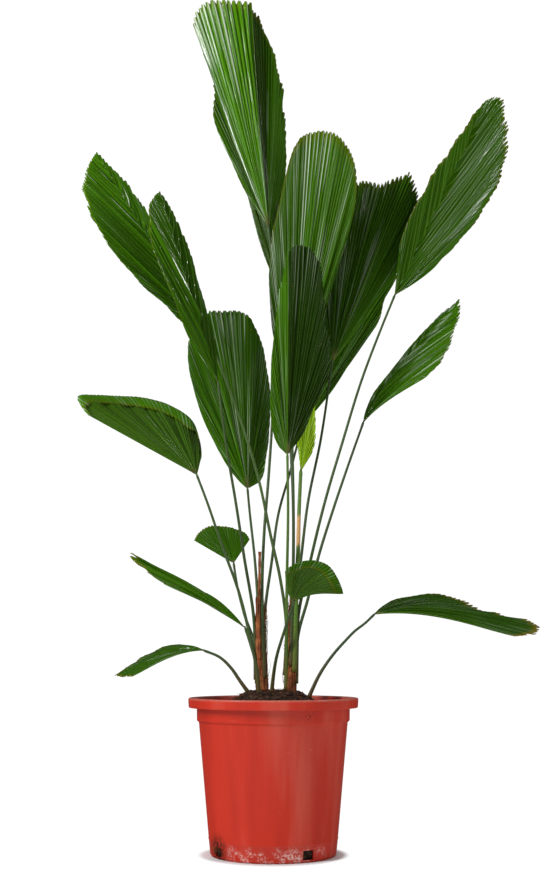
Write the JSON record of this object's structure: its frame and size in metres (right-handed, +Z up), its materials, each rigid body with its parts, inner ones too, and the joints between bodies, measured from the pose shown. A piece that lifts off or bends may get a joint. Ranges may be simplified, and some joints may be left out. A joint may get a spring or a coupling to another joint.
{
  "type": "potted ruffled fan palm",
  "caption": "Ruffled fan palm with pleated, toothed fan blades on thin stalks from two fibrous stems, standing in a round moulded nursery pot filled with soil.",
  "frame": {"origin": "centre of the pot's flat underside, on the floor", "axes": "Z up through the pot's middle; X to the right and Y away from the viewer of the picture"},
  "size_m": [0.7412, 0.5003, 1.4592],
  "materials": {
    "pot": "moulded red-brown polypropylene, faintly scuffed, with lime traces near its foot",
    "soil": "damp dark potting compost with fibres",
    "stem_fibre": "dry brown leaf-base fibre, rough",
    "stalk": "smooth grey-green living stalk",
    "blade": "glossy deep green pleated leaf",
    "young_blade": "glossy yellow-green young leaf"
  },
  "bodies": {
    "root": {"pot": "pot", "soil": "soil", "stem_left": "stem_fibre", "stem_right": "stem_fibre", "cut_stub": "stem_fibre", "stalk_crown_top": "stalk", "blade_crown_top": "blade", "stalk_crown_back": "stalk", "blade_crown_back": "blade", "stalk_upper_left_outer": "stalk", "blade_upper_left_outer": "blade", "stalk_upper_left_inner": "stalk", "blade_upper_left_inner": "blade", "stalk_centre": "stalk", "blade_centre": "blade", "stalk_front": "stalk", "blade_front": "blade", "stalk_right_inner": "stalk", "blade_right_inner": "blade", "stalk_upper_right": "stalk", "blade_upper_right": "blade", "stalk_back_right": "stalk", "blade_back_right": "blade", "stalk_mid_right": "stalk", "blade_mid_right": "blade", "stalk_mid_left": "stalk", "blade_mid_left": "blade", "stalk_centre_left": "stalk", "blade_centre_left": "blade", "stalk_small_back_left": "stalk", "blade_small_back_left": "blade", "stalk_low_left_strap": "stalk", "blade_low_left_strap": "blade", "stalk_lowest_left": "stalk", "blade_lowest_left": "blade", "stalk_small_front": "stalk", "blade_small_front": "blade", "stalk_low_right": "stalk", "blade_low_right": "blade", "stalk_young": "stalk", "blade_young": "young_blade"}
  },
  "joints": []
}
